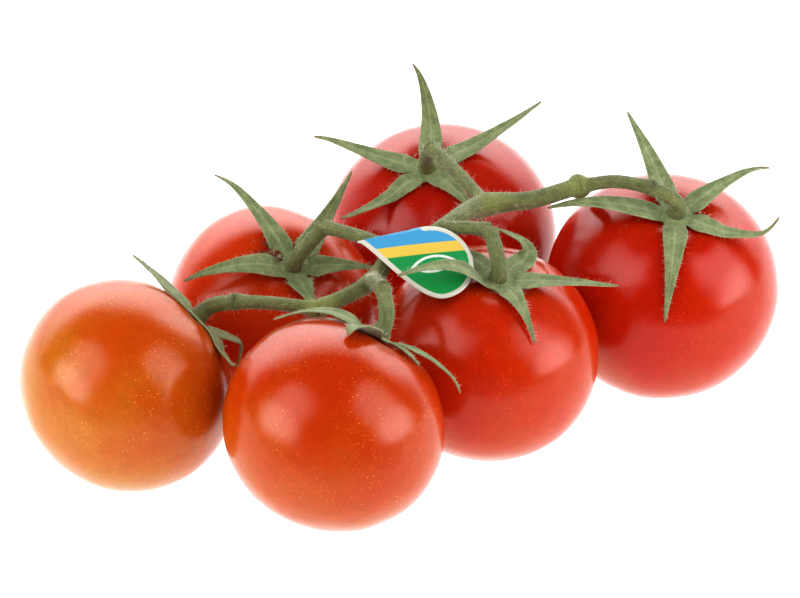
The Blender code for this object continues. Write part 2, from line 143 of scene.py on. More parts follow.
def make_tomato(fruit, finish):
    """A ball with a dimple, shoulders and lumps, cut flat where it stands."""
    flat_way, flat_depth = Vector(fruit.looks[3]).normalized(), fruit.looks[4]
    creases = [math.radians(turn) for turn in between_sepals(fruit.name)]
    ball = bmesh.new()
    bmesh.ops.create_uvsphere(ball, u_segments=BALL_SEGMENTS, v_segments=BALL_RINGS, radius=1)
    own = ball.verts.layers.float_vector.new("own_place")
    seed = Vector((len(fruit.name), fruit.radius * 1000, 3))
    for point in ball.verts:
        way = point.co.copy()
        side = math.hypot(way.x, way.y)
        turn = math.atan2(way.y, way.x)
        reach = side * fruit.radius
        if way.z > 0 and side < SKIN_SPAN:
            height = fruit.skin(reach)
        else:
            height = way.z * fruit.radius * FLATNESS
        fold = 0
        if way.z > 0:
            for crease in creases:
                off = math.degrees(abs((turn - crease + math.pi) % (2 * math.pi) - math.pi))
                fold += math.exp(-(off / CREASE_WIDTH) ** 2)
            fold *= math.sin(math.pi * min(1, side / CREASE_SPAN)) ** 1.5 * CREASE_DEPTH
        lump = noise.noise(way * LUMP_GRAIN + seed) * LUMP_HEIGHT
        lump += noise.noise(way * RIPPLE_GRAIN - seed) * RIPPLE_HEIGHT
        flat = flat_depth * max(0, (fruit.turned @ way).dot(flat_way)) ** FLAT_SPREAD
        point.co = Vector((way.x * fruit.radius, way.y * fruit.radius, height))
        point.co += way * (lump - fold - flat) * MM
        point[own] = point.co / MM
    ball.transform(Matrix.Translation(fruit.centre) @ fruit.turned.to_4x4())
    cut = bmesh.ops.bisect_plane(ball, geom=ball.verts[:] + ball.edges[:] + ball.faces[:],
                                 plane_co=(0, 0, 0), plane_no=(0, 0, 1), clear_inner=True)
    rim = [edge for edge in cut["geom_cut"] if isinstance(edge, bmesh.types.BMEdge)]
    bmesh.ops.contextual_create(ball, geom=rim)
    bmesh.ops.recalc_face_normals(ball, faces=ball.faces)
    finished("tomato_skin_" + fruit.name, ball, finish,
             ["tomato_" + fruit.name])


def finished(name, shape, finish, stands_for=()):
    """The object of a finished shape: it rides on the truss and stands for its CAD nodes."""
    mesh = bpy.data.meshes.new(name)
    shape.to_mesh(mesh)
    shape.free()
    mesh.shade_smooth()
    mesh.materials.append(finish)
    piece = bpy.data.objects.new(name, mesh)
    bpy.context.scene.collection.objects.link(piece)
    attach(piece, "root")
    if stands_for:
        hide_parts(*stands_for)
    return piece


def fill(tree, made, values):
    """Set the sockets of a node, or link them where the value is a socket too."""
    for socket, value in values.items():
        if isinstance(value, bpy.types.NodeSocket):
            tree.links.new(value, made.inputs[socket])
        else:
            made.inputs[socket].default_value = value


def node(tree, kind, values=None, **settings):
    """A shader node with its settings made and its sockets filled."""
    made = tree.nodes.new("ShaderNode" + kind)
    for key, value in settings.items():
        setattr(made, key, value)
    fill(tree, made, values or {})
    return made


def blended(tree, share, first, second, way="MIX"):
    """A colour between two, by a share."""
    return node(tree, "Mix", {0: share, 6: first, 7: second}, data_type="RGBA",
                blend_type=way).outputs[2]


def scaled(tree, vector, by):
    """A vector or a colour with each of its parts multiplied."""
    return node(tree, "VectorMath", {0: vector, 1: by}, operation="MULTIPLY").outputs[0]


def reckon(tree, way, *terms):
    """The result of one Math node."""
    return node(tree, "Math", dict(enumerate(terms)), operation=way).outputs[0]


def graded(tree, value, low, high, first=0.0, last=1.0):
    """A value carried smoothly from one range to another."""
    return node(tree, "MapRange", {"Value": value, "From Min": low, "From Max": high,
                                   "To Min": first, "To Max": last},
                interpolation_type="SMOOTHSTEP").outputs[0]


def patches(tree, place, scale, detail=2.0, rough=0.5):
    """Soft random patches, from 0 to 1, so many to the millimetre."""
    return node(tree, "TexNoise", {"Vector": place, "Scale": scale, "Detail": detail,
                                   "Roughness": rough}).outputs[0]


def effect(name, takes, gives):
    """An empty node group with named inputs and outputs."""
    tree = bpy.data.node_groups.new(name, "ShaderNodeTree")
    for label, kind in takes:
        tree.interface.new_socket(label, in_out="INPUT", socket_type="NodeSocket" + kind)
    for label, kind in gives:
        tree.interface.new_socket(label, in_out="OUTPUT", socket_type="NodeSocket" + kind)
    return tree, tree.nodes.new("NodeGroupInput").outputs, tree.nodes.new("NodeGroupOutput")


def new_finish(name):
    """A material with its node tree and its shader."""
    material = bpy.data.materials.new(name)
    material.use_nodes = True
    return material, material.node_tree, material.node_tree.nodes["Principled BSDF"]


def relief(tree, shader, height, depth):
    """Fine relief of so many millimetres on a shader's normal."""
    bump = node(tree, "Bump", {"Height": height, "Strength": 1.0, "Distance": depth * MM})
    tree.links.new(bump.outputs[0], shader.inputs["Normal"])


WHITE = (1, 1, 1, 1)
GOLD = (0.90, 0.42, 0.10, 1)
SCAR_BROWN = (0.12, 0.05, 0.02, 1)
skin_look, skin_in, skin_out = effect(
    "tomato_skin",
    [("Place", "Vector"), ("Ripe", "Color"), ("Pale", "Color"), ("Specks", "Float")],
    [("Color", "Color"), ("Roughness", "Float"), ("Height", "Float")])
own_parts = node(skin_look, "SeparateXYZ", {0: skin_in["Place"]}).outputs
from_axis = node(skin_look, "VectorMath", {0: scaled(skin_look, skin_in["Place"], (1, 1, 0))},
                 operation="LENGTH").outputs["Value"]
broad = patches(skin_look, skin_in["Place"], 0.035, 3.0)
lower = graded(skin_look, own_parts[2], 14.0, -26.0)
paler = graded(skin_look, reckon(skin_look, "ADD", reckon(skin_look, "MULTIPLY", broad, 1.1),
                                 reckon(skin_look, "MULTIPLY", lower, 0.5)), 0.45, 1.15)
tone = blended(skin_look, paler, skin_in["Ripe"], skin_in["Pale"])
mottle = graded(skin_look, patches(skin_look, skin_in["Place"], 0.45, 4.0, 0.6), 0.3, 0.75,
                0.93, 1.05)
tone = scaled(skin_look, tone, node(skin_look, "CombineXYZ", {
    0: mottle, 1: mottle, 2: mottle}).outputs[0])
cells = node(skin_look, "TexVoronoi", {"Vector": skin_in["Place"], "Scale": 0.80,
                                       "Randomness": 1.0}).outputs["Distance"]
small_cells = node(skin_look, "TexVoronoi", {"Vector": skin_in["Place"], "Scale": 1.60,
                                             "Randomness": 1.0}).outputs["Distance"]
dots = reckon(skin_look, "MAXIMUM", graded(skin_look, cells, 0.16, 0.07),
              graded(skin_look, small_cells, 0.20, 0.09, 0.0, 0.7))
crowded = graded(skin_look, patches(skin_look, skin_in["Place"], 0.09, 3.0), 0.36, 0.62)
dots = reckon(skin_look, "MULTIPLY", dots, reckon(skin_look, "MULTIPLY", crowded,
                                                  skin_in["Specks"]))
tone = blended(skin_look, dots, tone, GOLD)
blossom_end = reckon(skin_look, "MULTIPLY", graded(skin_look, from_axis, 1.6, 0.7),
                     graded(skin_look, own_parts[2], 0.0, -5.0))
tone = blended(skin_look, blossom_end, tone, SCAR_BROWN)
grain = patches(skin_look, skin_in["Place"], 1.6, 3.0)
fill(skin_look, skin_out, {
    "Color": tone,
    "Roughness": graded(skin_look, reckon(skin_look, "ADD", grain, reckon(
        skin_look, "MULTIPLY", blossom_end, 1.5)), 0.2, 1.6, 0.19, 0.30),
    "Height": reckon(skin_look, "ADD", reckon(skin_look, "MULTIPLY", grain, 0.25),
                     patches(skin_look, skin_in["Place"], 0.22, 2.0))})

tomatoes = {}
for fruit_name in FRUITS:
    tomato = tomatoes[fruit_name] = Tomato(fruit_name)
    skin_finish, tree, shader = new_finish("waxy_skin_" + fruit_name)
    own_place = node(tree, "Attribute", attribute_name="own_place").outputs["Vector"]
    look = node(tree, "Group", {"Place": own_place, "Ripe": (*tomato.looks[0], 1),
                                "Pale": (*tomato.looks[1], 1), "Specks": tomato.looks[2]},
                node_tree=skin_look).outputs
    relief(tree, shader, look["Height"], 0.05)
    fill(tree, shader, {
        "Base Color": look["Color"], "Roughness": look["Roughness"], "IOR": 1.43,
        "Coat Weight": 0.12, "Coat Roughness": 0.25, "Subsurface Weight": 0.8,
        "Subsurface Radius": (0.012, 0.0016, 0.0007), "Subsurface Scale": 1.0})
    make_tomato(tomato, skin_finish)

# ==== The calyxes ====
# Five green sepals grown together round each stalk: narrow hairy leaves with a groove along the
# midrib, rolled edges and dried, curled tips.
SEPAL_WIDTH = 8.0
SEPAL_ROOT_REACH = 4.2
SEPAL_THICKNESS = 0.55
SEPAL_FOLD = 0.55
SEPAL_CLEAR = 0.5
SEPAL_STEPS = 16
CURL_FROM = 0.74
SEPAL_SIDE = 3           # strips on each side of the midrib
CALYX_RINGS = ((2.6, 1.1), (3.5, 0.75), (SEPAL_ROOT_REACH, SEPAL_CLEAR))   # reach and rise
COLLAR_REACH = 1.6
COLLAR_RISE = 1.6
ROOT_SHARE, ROOT_GROWTH = 0.78, 0.22     # a sepal's width at its root, and what it gains
TIP_HALF = 0.22
ROLL_DEPTH, ROLL_FROM = 0.30, 0.6
CRUMPLE = 0.35
GAP_BETWEEN = 0.15


def midrib(fruit, row, u):
    """A point on a sepal's midrib, from its root (0) to its tip (1), kept over the skin."""
    turn, mid_reach, mid_rise, tip_turn, tip_reach, tip_rise, *_ = row
    root = SEPAL_ROOT_REACH
    seat = fruit.skin(0)
    start = fruit.place(turn, root * MM, fruit.skin(root * MM) + SEPAL_CLEAR * MM)
    middle = fruit.place(turn, (root + mid_reach) * MM, seat + mid_rise * MM)
    tip = fruit.place(tip_turn, (root + tip_reach) * MM, seat + tip_rise * MM)
    bend = 2 * middle - (start + tip) / 2
    point = start * (1 - u) ** 2 + bend * 2 * u * (1 - u) + tip * u * u
    if len(row) > 10:    # a leaf that is bent sharply
        kinked = start.lerp(middle, 2 * u) if u < 0.5 else middle.lerp(tip, 2 * u - 1)
        point = point.lerp(kinked, row[10])
    off = point - fruit.centre
    height = off.dot(fruit.axis)
    low = fruit.skin((off - fruit.axis * height).length) + SEPAL_CLEAR * MM
    return point + fruit.axis * max(0, low - height)


def leaf_frame(fruit, row, u):
    """The midrib's point with the ways along, across and out of the leaf there."""
    step = 0.02
    point = midrib(fruit, row, u)
    along = (midrib(fruit, row, min(1, u + step)) - midrib(fruit, row, max(0, u - step)))
    along.normalize()
    across = fruit.axis.cross(along).normalized()
    out = along.cross(across)
    bank = math.radians(row[8]) if len(row) > 8 else 0
    across, out = (across * math.cos(bank) + out * math.sin(bank),
                   out * math.cos(bank) - across * math.sin(bank))
    curl = max(0, (u - CURL_FROM) / (1 - CURL_FROM)) ** 3
    return point + (out * row[6] + across * row[7]) * curl * MM, along, across, out


def half_leaf(u, row):
    """Half of a sepal's width, in millimetres."""
    taper = row[9] if len(row) > 9 else 1.0
    grown = math.sin(min(1, u / 0.25) * math.pi / 2)
    share = ROOT_SHARE + ROOT_GROWTH * grown
    return SEPAL_WIDTH / 2 * share * (1 - u) ** taper + TIP_HALF


def make_calyx(fruit, finish):
    """A ring round the stalk whose rim is drawn out, arc by arc, into five leaves."""
    rows = sorted(SEPALS[fruit.name], key=lambda row: row[0] % 360)
    turns = [row[0] % 360 for row in rows]
    star = bmesh.new()
    leaf_place = star.verts.layers.float_vector.new("leaf_place")
    arc = 2 * SEPAL_SIDE
    bmesh.ops.create_circle(star, segments=5 * arc, radius=1)
    star.verts.ensure_lookup_table()
    rim = sorted(star.verts, key=lambda v: math.atan2(v.co.y, v.co.x) % (2 * math.pi))
    bounds = []
    for i, turn in enumerate(turns):
        bounds.append((turns[i - 1] - 360 + turn) / 2 if i == 0 else (turns[i - 1] + turn) / 2)
    bounds.append(bounds[0] + 360)
    angle_of = {}
    for i, middle in enumerate(turns):
        for k in range(arc):
            share = k / arc
            if share < 0.5:
                angle = bounds[i] + (middle - bounds[i]) * share * 2
            else:
                angle = middle + (bounds[i + 1] - middle) * (share - 0.5) * 2
            angle_of[rim[i * arc + k]] = angle
    ring = list(star.edges)
    place_of = {}
    for vert in rim:
        vert.co = fruit.place(angle_of[vert], COLLAR_REACH * MM, fruit.skin(0) + COLLAR_RISE * MM)
        vert[leaf_place] = (0, 0, 0.5)
    for reach, rise in CALYX_RINGS:
        grown = bmesh.ops.extrude_edge_only(star, edges=ring)["geom"]
        ring = [item for item in grown if isinstance(item, bmesh.types.BMEdge)]
        fresh = [item for item in grown if isinstance(item, bmesh.types.BMVert)]
        fresh.sort(key=lambda v: (math.atan2(*reversed((fruit.turned.transposed() @ (
            v.co - fruit.centre)).xy)) % (2 * math.pi)))
        base = sorted(angle_of.values(), key=lambda a: a % 360)
        for vert, angle in zip(fresh, base):
            vert.co = fruit.place(angle, reach * MM, fruit.skin(reach * MM) + rise * MM)
            vert[leaf_place] = (0, 0, 0.5)
            place_of[vert] = angle % 360
    for i, row in enumerate(rows):
        room = math.radians(min(turns[i] - bounds[i], bounds[i + 1] - turns[i]))

        def across_share(angle):
            off = (angle - turns[i] + 180) % 360 - 180
            edge = turns[i] - bounds[i] if off < 0 else bounds[i + 1] - turns[i]
            return max(-1, min(1, off / edge))

        def inside(vert):
            off = (place_of[vert] - turns[i] + 180) % 360 - 180
            return bounds[i] - turns[i] - 0.01 <= off <= bounds[i + 1] - turns[i] + 0.01

        hem = [edge for edge in ring if all(inside(vert) for vert in edge.verts)]
        share_of = {vert: across_share(place_of[vert]) for edge in hem for vert in edge.verts}
        crumple = Vector((turns[i], fruit.radius * 1000, 0))
        for k in range(1, SEPAL_STEPS + 1):
            u = k / SEPAL_STEPS
            spot, along, across, out = leaf_frame(fruit, row, u)
            reach = ((spot - fruit.centre) - fruit.axis * (spot - fruit.centre).dot(
                fruit.axis)).length / MM
            half = min(half_leaf(u, row), reach * math.tan(room) - GAP_BETWEEN)
            roll = ROLL_DEPTH * math.sin(math.pi * min(1, u * 1.6))
            old = sorted(share_of, key=share_of.get)
            shares = [share_of[vert] for vert in old]
            grown = bmesh.ops.extrude_edge_only(star, edges=hem)["geom"]
            hem = [item for item in grown if isinstance(item, bmesh.types.BMEdge)]
            fresh = [item for item in grown if isinstance(item, bmesh.types.BMVert)]
            share_of = {}
            for vert in fresh:
                nearest = min(range(len(old)), key=lambda n: (old[n].co - vert.co).length)
                share_of[vert] = shares[nearest]
            for vert, share in share_of.items():
                rough = noise.noise(crumple + Vector((u * 6, share * 1.5, 0))) * CRUMPLE * u
                lift = SEPAL_FOLD * abs(share) ** 1.3 * math.sin(math.pi * min(1, u + 0.12))
                lift -= roll * max(0, abs(share) - ROLL_FROM) / (1 - ROLL_FROM)
                vert.co = spot + (across * share * half + out * (lift + rough)) * MM
                vert[leaf_place] = (share, u, turns[i] / 360)
    bmesh.ops.recalc_face_normals(star, faces=star.faces)
    if sum(face.normal.dot(fruit.axis) for face in star.faces) < 0:
        bmesh.ops.reverse_faces(star, faces=star.faces)
    piece = finished("calyx_" + fruit.name, star, finish,
                     [f"sepal_{fruit.name}_{number}" for number in range(1, 6)])
    wall = piece.modifiers.new("leaf_wall", "SOLIDIFY")
    wall.thickness = SEPAL_THICKNESS * MM
    wall.offset = 0
    soften = piece.modifiers.new("soft_edges", "SUBSURF")
    soften.levels = soften.render_levels = 1


def place_in_mm(tree):
    """The place on a piece, in millimetres."""
    return scaled(tree, node(tree, "TexCoord").outputs["Object"], (1 / MM, 1 / MM, 1 / MM))


plant_look, plant_in, plant_out = effect(
    "green_stem_skin", [("Place", "Vector"), ("Green", "Color"), ("Light", "Color")],
    [("Color", "Color"), ("Roughness", "Float"), ("Height", "Float")])
soft = patches(plant_look, plant_in["Place"], 0.35, 3.0)
fine = patches(plant_look, plant_in["Place"], 2.2, 4.0, 0.65)
pores = node(plant_look, "TexVoronoi", {"Vector": plant_in["Place"], "Scale": 3.2,
                                        "Randomness": 1.0}).outputs["Distance"]
mixed = graded(plant_look, reckon(plant_look, "ADD", reckon(plant_look, "MULTIPLY", soft, 0.5),
                                  reckon(plant_look, "MULTIPLY", fine, 0.6)), 0.35, 0.8)
tone = blended(plant_look, mixed, plant_in["Green"], plant_in["Light"])
tone = blended(plant_look, graded(plant_look, pores, 0.22, 0.05, 0.0, 0.35), tone, WHITE)
fill(plant_look, plant_out, {
    "Color": tone,
    "Roughness": graded(plant_look, fine, 0.2, 0.8, 0.55, 0.8),
    "Height": reckon(plant_look, "SUBTRACT", fine, reckon(
        plant_look, "MULTIPLY", graded(plant_look, pores, 0.25, 0.0), -0.4))})

SEPAL_GREEN = (0.120, 0.160, 0.062, 1)
SEPAL_LIGHT = (0.320, 0.360, 0.180, 1)
RIB_PALE = (0.46, 0.50, 0.30, 1)
TIP_DRY = (0.28, 0.20, 0.10, 1)
sepal_finish, tree, shader = new_finish("hairy_sepal")
leaf = node(tree, "Attribute", attribute_name="leaf_place").outputs["Vector"]
leaf_parts = node(tree, "SeparateXYZ", {0: leaf}).outputs
look = node(tree, "Group", {"Place": place_in_mm(tree), "Green": SEPAL_GREEN,
                            "Light": SEPAL_LIGHT}, node_tree=plant_look).outputs
off_rib = reckon(tree, "ABSOLUTE", leaf_parts[0])
veins = node(tree, "CombineXYZ", {0: reckon(tree, "MULTIPLY", leaf_parts[0], 9.0),
                                  1: reckon(tree, "MULTIPLY", leaf_parts[1], 3.0),
                                  2: reckon(tree, "MULTIPLY", leaf_parts[2], 40.0)}).outputs[0]
streaks = patches(tree, veins, 1.0, 3.0, 0.6)
tone = blended(tree, graded(tree, streaks, 0.55, 0.8, 0.0, 0.25), look["Color"], RIB_PALE)
ribbed = reckon(tree, "MULTIPLY", graded(tree, off_rib, 0.22, 0.02, 0.0, 0.28),
                graded(tree, leaf_parts[1], 0.0, 0.08))
tone = blended(tree, ribbed, tone, RIB_PALE)
tone = blended(tree, graded(tree, off_rib, 0.80, 1.0, 0.0, 0.25), tone, RIB_PALE)
tone = blended(tree, graded(tree, leaf_parts[1], 0.9, 1.0, 0.0, 0.8), tone, TIP_DRY)
relief(tree, shader, reckon(tree, "ADD", look["Height"],
                            reckon(tree, "MULTIPLY", streaks, 1.5)), 0.12)
fill(tree, shader, {"Base Color": tone, "Roughness": look["Roughness"],
                    "Sheen Weight": 0.25, "Sheen Roughness": 0.4})

for fruit in tomatoes.values():
    make_calyx(fruit, sepal_finish)

# ==== The truss stem with its stalks ====
# One branching green stem that carries the fruits: faintly ribbed, hairy, swollen at the forks,
# with an angular knuckle in every stalk and a swollen foot on every fruit.
STEM_HALF = 2.4
STALK_HALF = 1.85
FOOT_HALF = 2.6
STEM_SIDES = 16
STEM_STEP = 0.8
STEM_SAG = 1.2
STEM_THINNER = 0.35      # towards its end
THINNER_FROM, THINNER_OVER = 0.55, 0.45  # shares of its length
KNUCKLE_SWELL = 0.35
NECK_REACH, NECK_DEPTH = 2.6, 0.30
FOOT_REACH = 4.2
VOXEL = 0.32
SMOOTHINGS = 5
RUN_APART = 40           # between the grains of two runs

# forks and knuckles, in millimetres, about where the CAD stem has them
CUT_END = (47.16, 26.73, 56.55)
RING = (45.16, 13.61, 62.45)
BESIDE_RING = (45.61, 16.60, 61.10)
BACK_FORK = (20.22, 5.62, 60.30)
MIDDLE_FORK = (7.76, -14.71, 61.41)
UNDER_TAG = (-3.85, -18.26, 59.39)
FRONT_FORK = (-10.42, -26.91, 51.61)
LEFT_FORK = (-24.31, -35.08, 47.15)
KNUCKLES = {
    "left": (-45.24, -32.66, 48.39), "front": (-7.29, -42.94, 56.29),
    "back_left": (-23.20, -8.03, 59.40), "back": (5.92, 33.82, 65.89),
    "middle": (20.47, -20.04, 63.26), "right": (64.36, 8.68, 64.24),
}
STALK_FROM = {"left": LEFT_FORK, "front": FRONT_FORK, "back_left": UNDER_TAG,
              "back": BACK_FORK, "middle": MIDDLE_FORK, "right": RING}


def smooth_run(points, step=STEM_STEP * MM, loose=3.0):
    """Points about a step apart on a curve that passes through a run and rounds its corners."""
    ways = []
    for i, point in enumerate(points):
        before = point - points[i - 1] if i else points[1] - point
        after = points[i + 1] - point if i + 1 < len(points) else before
        ways.append((before.normalized() + after.normalized()).normalized())
    run = [points[0]]
    for start, stop, leave, arrive in zip(points, points[1:], ways, ways[1:]):
        reach = (stop - start).length / loose
        pieces = max(2, round((stop - start).length / step))
        run += interpolate_bezier(start, start + leave * reach, stop - arrive * reach, stop,
                                  pieces + 1)[1:]
    return run


grown_runs = []          # every run's points, for the grain that follows the stem


def grow(shape, run, halves):
    """Sweep a ring along a run of points, with its half width at each, and close both ends."""
    turn = shape.verts.layers.float.get("turn") or shape.verts.layers.float.new("turn")
    side = Vector((0, 0, 1)).cross(run[1] - run[0]).normalized()
    made = bmesh.ops.create_circle(shape, segments=STEM_SIDES, radius=1, cap_ends=True)["verts"]
    for vert in made:
        vert[turn] = math.atan2(vert.co.y, vert.co.x)
    edges = list({edge for vert in made for edge in vert.link_edges})
    frames = []
    for i, (spot, half) in enumerate(zip(run, halves)):
        way = (run[min(i + 1, len(run) - 1)] - run[max(i - 1, 0)]).normalized()
        side = (side - way * side.dot(way)).normalized()
        over = way.cross(side)
        if i:
            grown = bmesh.ops.extrude_edge_only(shape, edges=edges)["geom"]
            made = [item for item in grown if isinstance(item, bmesh.types.BMVert)]
            edges = [item for item in grown if isinstance(item, bmesh.types.BMEdge)]
        for vert in made:
            vert.co = spot + (side * math.cos(vert[turn]) * half
                              + over * math.sin(vert[turn]) * half) * MM
        frames.append((spot, side.copy(), over.copy()))
    bmesh.ops.contextual_create(shape, geom=edges)
    grown_runs.append(frames)


def bump_at(spot, centre, reach, height):
    """A smooth swelling round a place."""
    return height * math.exp(-((spot - Vector(centre) * MM).length / (reach * MM)) ** 2)


def point_mm(*place):
    """A place that is given in millimetres."""
    return Vector(place) * MM


UNDER_SAG = point_mm(0, 2.0, 1.7)        # the stem hangs a little behind the tag
stems = bmesh.new()
main_points = [point_mm(*p) for p in (CUT_END, RING, BACK_FORK, MIDDLE_FORK)]
main_points.insert(2, (point_mm(*RING) + point_mm(*BACK_FORK)) / 2 - point_mm(0, 0, STEM_SAG))
main_points.append((point_mm(*MIDDLE_FORK) + point_mm(*UNDER_TAG)) / 2 - UNDER_SAG * 1.2)
main_points += [point_mm(*UNDER_TAG) - UNDER_SAG, point_mm(*FRONT_FORK), point_mm(*LEFT_FORK)]
main_run = smooth_run(main_points)
main_halves = []
for i, spot in enumerate(main_run):
    half = STEM_HALF
    half -= STEM_THINNER * max(0, i / len(main_run) - THINNER_FROM) / THINNER_OVER
    half += bump_at(spot, RING, 1.7, 1.2) + bump_at(spot, BACK_FORK, 9.0, 0.55)
    half -= bump_at(spot, BESIDE_RING, 1.2, 0.55) + bump_at(spot, CUT_END, 9.0, 0.3)
    half += bump_at(spot, BACK_FORK, 3.0, 0.35)
    half += bump_at(spot, LEFT_FORK, 3.2, 0.6) + bump_at(spot, FRONT_FORK, 3.0, 0.45)
    half += bump_at(spot, CUT_END, 2.0, 0.2)
    main_halves.append(half)
grow(stems, main_run, main_halves)
for name, fork in STALK_FROM.items():
    fruit = tomatoes[name]
    start, here = point_mm(*fork), point_mm(*KNUCKLES[name])
    if name == "back_left":
        start -= UNDER_SAG
    seat = fruit.centre + fruit.axis * fruit.skin(0)
    lead = seat + fruit.axis * 5.0 * MM
    arch = (start + here) / 2 + Vector((0, 0, 1.5 if name == "right" else 0.5)) * MM
    run = smooth_run([start, arch, here])
    halves = []
    for spot in run:
        near = (spot - here).length / MM
        halves.append(STALK_HALF + KNUCKLE_SWELL * math.exp(-(near / 2.2) ** 2)
                      + bump_at(spot, fork, 3.0, 0.6))
    grow(stems, run, halves)
    run = smooth_run([here, lead, seat + fruit.axis * 0.6 * MM])
    halves = []
    for spot in run:
        near = (spot - here).length / MM
        foot = max(0, 1 - (spot - seat).dot(fruit.axis) / (FOOT_REACH * MM))
        halves.append(STALK_HALF + 0.25 + KNUCKLE_SWELL * math.exp(-(near / 2.0) ** 2)
                      - NECK_DEPTH * math.exp(-((near - NECK_REACH) / 0.7) ** 2)
                      + (FOOT_HALF - STALK_HALF) * foot ** 0.8)
    grow(stems, run, halves)
bmesh.ops.recalc_face_normals(stems, faces=stems.faces)

rough_mesh = bpy.data.meshes.new("rough_stems")
stems.to_mesh(rough_mesh)
stems.free()
rough_stems = bpy.data.objects.new("rough_stems", rough_mesh)
bpy.context.scene.collection.objects.link(rough_stems)
fuse = rough_stems.modifiers.new("grown_together", "REMESH")
fuse.mode = "VOXEL"
fuse.voxel_size = VOXEL * MM
bpy.context.view_layer.update()
fused = bpy.data.meshes.new_from_object(
    rough_stems.evaluated_get(bpy.context.evaluated_depsgraph_get()))
bpy.data.objects.remove(rough_stems, do_unlink=True)
stems = bmesh.new()
stems.from_mesh(fused)
for _ in range(SMOOTHINGS):
    bmesh.ops.smooth_vert(stems, verts=stems.verts, factor=0.5, use_axis_x=True,
                          use_axis_y=True, use_axis_z=True)

spots = [frame_here for frames in grown_runs for frame_here in frames]
nearest_spot = KDTree(len(spots))
for i, (spot, _, _) in enumerate(spots):
    nearest_spot.insert(spot, i)
nearest_spot.balance()
lengths, travelled = [], 0.0
for frames in grown_runs:
    travelled += RUN_APART * MM
    for i, (spot, _, _) in enumerate(frames):
        travelled += (spot - frames[i - 1][0]).length if i else 0
        lengths.append(travelled)
grain_layer = stems.verts.layers.float_vector.new("stem_grain")
mark_layer = stems.verts.layers.float_vector.new("stem_marks")
young_spots = [point_mm(*p) for p in (BACK_FORK, LEFT_FORK, RING)]
scar_spots = [point_mm(*FRONT_FORK) + point_mm(0.5, -1.5, 1.5)]
groove_spots = [point_mm(*place) for place in KNUCKLES.values()]
groove_spots += [point_mm(48.6, 12.7, 63.9), point_mm(51.0, 12.1, 64.9),
                 point_mm(53.6, 11.4, 65.4)]
seats = [fruit.centre + fruit.axis * fruit.skin(0) for fruit in tomatoes.values()]


def near_share(place, centres, reach):
    """1 at the nearest of some places, falling to 0 over a reach."""
    return math.exp(-(min((place - spot).length for spot in centres) / (reach * MM)) ** 2)


for vert in stems.verts:
    _, index, _ = nearest_spot.find(vert.co)
    spot, side, over = spots[index]
    off = vert.co - spot
    along = side.cross(over)
    vert[grain_layer] = (off.dot(side) / MM, off.dot(over) / MM,
                         (lengths[index] + off.dot(along)) / MM)
    vert[mark_layer] = (near_share(vert.co, young_spots, 4.0),
                        near_share(vert.co, scar_spots, 2.6),
                        max(near_share(vert.co, groove_spots, 1.6),
                            near_share(vert.co, seats, 3.4)))

STEM_GREEN = (0.082, 0.098, 0.034, 1)
STEM_LIGHT = (0.225, 0.240, 0.095, 1)
YOUNG_GREEN = (0.290, 0.325, 0.070, 1)
SCAR_BEIGE = (0.52, 0.48, 0.36, 1)
GROOVE_BROWN = (0.085, 0.065, 0.030, 1)
stem_finish, tree, shader = new_finish("ribbed_stem")
grain_at = node(tree, "Attribute", attribute_name="stem_grain").outputs["Vector"]
marks = node(tree, "SeparateXYZ", {
    0: node(tree, "Attribute", attribute_name="stem_marks").outputs["Vector"]}).outputs
look = node(tree, "Group", {"Place": grain_at, "Green": STEM_GREEN, "Light": STEM_LIGHT},
            node_tree=plant_look).outputs
fibres = patches(tree, scaled(tree, grain_at, (1.5, 1.5, 0.10)), 1.0, 3.0, 0.6)
tone = blended(tree, graded(tree, fibres, 0.40, 0.75, 0.0, 0.55), look["Color"], STEM_LIGHT)
tone = blended(tree, reckon(tree, "MULTIPLY", marks[0], 0.6), tone, YOUNG_GREEN)
tone = blended(tree, reckon(tree, "MULTIPLY", marks[2], 0.45), tone, GROOVE_BROWN)
tone = blended(tree, graded(tree, reckon(tree, "ADD", marks[1], reckon(
    tree, "MULTIPLY", fibres, 0.4)), 0.55, 1.0), tone, SCAR_BEIGE)
relief(tree, shader, reckon(tree, "ADD", reckon(tree, "MULTIPLY", look["Height"], 0.5),
                            reckon(tree, "MULTIPLY", fibres, 2.0)), 0.18)
fill(tree, shader, {"Base Color": tone, "Roughness": look["Roughness"],
                    "Sheen Weight": 0.25, "Sheen Roughness": 0.4})
truss = finished("truss_and_stalks", stems, stem_finish,
                 ["truss_stem"] + ["stalk_" + name for name in tomatoes])

# ==== The hairs ====
# Short white hairs stand on the stem, on the stalks and along the sepals, and a few longer ones
# on the skin round each calyx.
HAIR_HALF = 0.030
HAIR_BATCH = 120
STEM_HAIRS, LEAF_HAIRS, SKIN_HAIRS = 2600, 95, 14
LONG_SHARE = 0.18        # of the stem's hairs
EDGE_SHARE = 0.7         # of a leaf's hairs, which stand on its very edge
HAIR_GREEN, HAIR_WHITE = (0.62, 0.66, 0.48, 1), (0.92, 0.92, 0.86, 1)
hair_finish, tree, shader = new_finish("white_hair")
hair_tone = patches(tree, node(tree, "TexCoord").outputs["Object"], 400.0, 2.0)
fill(tree, shader, {"Base Color": blended(tree, hair_tone, HAIR_GREEN, HAIR_WHITE),
                    "Roughness": 0.5})


